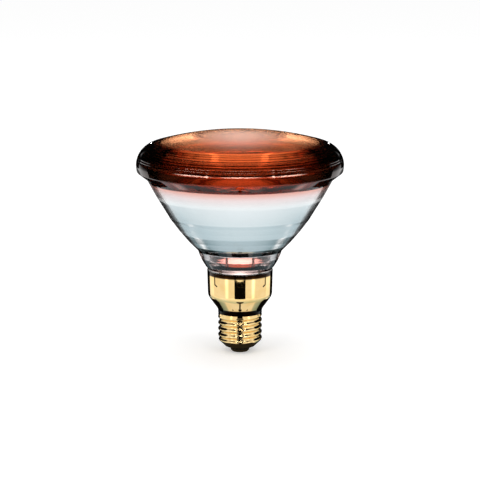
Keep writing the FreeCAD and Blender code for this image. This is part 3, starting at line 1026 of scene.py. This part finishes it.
def studio_cards():
    """Cards round the lamp: dark ones in front and behind, lit ones between, and the graded paper."""
    dark = card_finish("black felt", 0.003)
    soft_dark = card_finish("soft black felt", 0.003, 0.3)
    lit = card_finish("lit panel", 1.0)
    lit_flat = card_finish("lit card", 0.9, 0.35)
    shade = card_finish("painted shade under the cap", 0.02)
    streak = card_finish("bright streak", 2.2, 1.0)
    behind = card_finish("lit panel behind", 1.0, 1.0)
    front_glow = card_finish("glow in front for the glass", 1.15)
    back_glow = card_finish("glow behind for the glass", 4.0, 1.0)
    low_glow = card_finish("low glow behind for the neck", 1.0, 0.6)
    low_shade = card_finish("dark paper", 0.08, 0.4)
    low_card = card_finish("white paper", 1.5, 0.9)
    thin = card_finish("strip lamp", 40, 0.9)
    spark = card_finish("small lamp", 60, 0.9)
    dusk = card_finish("grey panel", 0.13, 0.3)
    # Degrees round the lamp from its front, then distance, foot, width and height in metres
    upright = (
        ("front_felt", 0, 0.150, -0.030, 0.100, 0.040, dark),
        ("front_high_felt", 0, 0.150, 0.036, 0.075, 0.060, dark),
        ("{}_near_card", 52, 0.060, 0.040, 0.080, 0.040, lit),
        ("cap_fin", 0, 0.028, -0.030, 0.012, 0.048, dark),
        ("{}_panel", 60, 0.160, -0.120, 0.300, 0.180, lit),
        ("{}_streak", 45, 0.140, -0.060, 0.050, 0.200, streak),
        ("{}_low_felt", 151, 0.170, -0.030, 0.140, 0.078, dark),
        ("{}_felt", 120, 0.600, -0.030, 1.160, 0.900, soft_dark),
        ("{}_rim_felt", 151, 0.170, 0.088, 0.140, 0.045, dark),
        ("back_felt", 180, 0.720, -0.030, 0.700, 1.200, dark),
        ("back_panel", 180, 0.700, 0.120, 0.240, 0.620, behind),
        ("front_wall", 0, 0.100, 0.085, 0.075, 0.250, dark),
        ("{}_wall", 36, 0.100, 0.085, 0.075, 0.250, dark),
        ("{}_side_wall", 72, 0.100, 0.085, 0.075, 0.250, dark),
        ("rim_line", 0, 0.092, 0.1145, 0.070, 0.006, thin),
        ("rim_line_{}", 36, 0.092, 0.1145, 0.070, 0.006, thin),
        ("{}_spark", 24, 0.090, 0.1135, 0.006, 0.008, spark),
        ("{}_back_spark", 167, 0.500, 0.153, 0.010, 0.010, spark),
        ("{}_dusk", 150, 0.250, 0.018, 0.160, 0.062, dusk),
        ("front_glow", 0, 0.800, 0.450, 1.600, 1.100, front_glow),
        ("back_glow", 180, 0.850, -0.050, 0.500, 0.620, back_glow),
    )
    # Place across and behind the axis, then width, depth and height above the floor in millimetres
    level = (
        ("cap_card", 0, -14, 76, 22, -0.6, lit_flat),
        ("cap_line", 0, -21, 2.8, 5.9, -0.4, dark),
        ("cap_strip", 0, -16.3, 6, 3.6, -0.4, dark),
        # Near-black card right under the lamp: painted shade where the lamp shades the floor, as gloss sees
        # it
        ("cap_felt", 0, 0, 28, 29, -0.5, shade),
        ("cap_back_felt", 0, 32, 110, 50, -0.5, dark),
        ("back_low_glow", 0, 150, 110, 210, -29, low_glow),
        ("back_low_shade", 0, 345, 520, 560, -29.5, low_shade),
        ("{}_low_card", 92, 62, 50, 56, -28, low_card),
        ("overhead_felt", 0, 0, 2600, 2600, 700, dark),
    )
    cards = [hidden_sheet("paper", (0, 0, -0.03), (2, 2), (0, 0, 0), graded_finish())]
    for name, azimuth, distance, foot, width, height, material in both_sides(upright):
        angle = math.radians(azimuth)
        place = (distance * math.sin(angle), -distance * math.cos(angle), foot + height / 2)
        cards.append(hidden_sheet(name, place, (width, height), (math.pi / 2, 0, angle), material))
    for name, x, y, width, depth, height, material in both_sides(level):
        place = (x * MM, y * MM, height * MM)
        cards.append(hidden_sheet(name, place, (width * MM, depth * MM), (0, 0, 0), material))
    return cards


def studio_lights():
    """Two soft boxes in front, one over the lamp."""
    plan = (
        ("left_box", (-0.9, -1.1, 1.0), 0.9, 3),
        ("right_box", (0.9, -1.1, 1.0), 0.9, 3),
        ("top_box", (0, 0.2, 1.5), 1.2, 5),
    )
    aim = Vector((0, 0, 60 * MM))
    lights = []
    for name, place, extent, power in plan:
        data = bpy.data.lights.new(name, "AREA")
        data.shape = "SQUARE"
        data.size = extent
        data.energy = power
        light = bpy.data.objects.new(name, data)
        bpy.context.scene.collection.objects.link(light)
        light.location = place
        light.rotation_euler = (aim - Vector(place)).to_track_quat("-Z", "Y").to_euler()
        light.visible_camera = False
        lights.append(light)
    return lights


def white_world():
    """White surroundings, at full level only where they are seen straight, in gloss or through glass."""
    world = bpy.data.worlds.new("white studio")
    bpy.context.scene.world = world
    world.use_nodes = True
    tree = world.node_tree
    tree.nodes.clear()
    level = add_node(
        tree, "ShaderNodeMapRange", {"To Min": 0.75, "To Max": 1.0}, {"Value": seen_background(tree)})
    sky = add_node(
        tree, "ShaderNodeBackground", {"Color": (1, 1, 1, 1)}, {"Strength": level.outputs["Result"]})
    add_node(tree, "ShaderNodeOutputWorld", links={"Surface": sky.outputs[0]})


def photo_camera():
    """Camera a metre from the lamp, looking a little down on it as the photograph does."""
    distance = 1.0
    elevation = math.radians(11.23)
    aim = Vector((0, 0, 67.4 * MM))
    data = bpy.data.cameras.new("photo_camera")
    data.sensor_width = 36
    data.lens = 126.7
    camera = bpy.data.objects.new("photo_camera", data)
    bpy.context.scene.collection.objects.link(camera)
    back = Vector((0, -math.cos(elevation), math.sin(elevation)))
    camera.location = aim + back * distance
    camera.rotation_euler = (-back).to_track_quat("-Z", "Y").to_euler()
    bpy.context.scene.camera = camera
    return camera


class LAMP_PT_panel(bpy.types.Panel):
    """Lists the lamp's sizes, colours and steps"""
    bl_idname = "LAMP_PT_panel"
    bl_label = "Infrared heat lamp"
    bl_space_type = "VIEW_3D"
    bl_region_type = "UI"
    bl_category = "Heat Lamp"

    def draw(self, context):
        for group in (context.scene.heat_lamp_sizes, context.scene.heat_lamp_colours):
            box = self.layout.box()
            for key in group.__annotations__:
                box.prop(group, key)
        for step in STEPS:
            self.layout.operator(step.bl_idname)


STEPS = (
    LAMP_OT_lens, LAMP_OT_bowl, LAMP_OT_skirt, LAMP_OT_shell, LAMP_OT_insulator,
    LAMP_OT_filament, LAMP_OT_solder, LAMP_OT_small_parts, LAMP_OT_stage,
)
CLASSES = (HeatLampSizes, HeatLampColours, *STEPS, LAMP_PT_panel)


def register():
    """Makes the classes and the scene's sizes and colours known."""
    for one in CLASSES:
        bpy.utils.register_class(one)
    bpy.types.Scene.heat_lamp_sizes = bpy.props.PointerProperty(type=HeatLampSizes)
    bpy.types.Scene.heat_lamp_colours = bpy.props.PointerProperty(type=HeatLampColours)


def unregister():
    """Takes them away again."""
    del bpy.types.Scene.heat_lamp_colours
    del bpy.types.Scene.heat_lamp_sizes
    for one in reversed(CLASSES):
        bpy.utils.unregister_class(one)


def main():
    """Runs each step in order."""
    register()
    bpy.ops.heat_lamp.lens()
    bpy.ops.heat_lamp.bowl()
    bpy.ops.heat_lamp.skirt()
    bpy.ops.heat_lamp.shell()
    bpy.ops.heat_lamp.insulator()
    bpy.ops.heat_lamp.filament()
    bpy.ops.heat_lamp.solder()
    bpy.ops.heat_lamp.small_parts()
    bpy.ops.heat_lamp.stage()


if __name__ == "__main__":
    main()
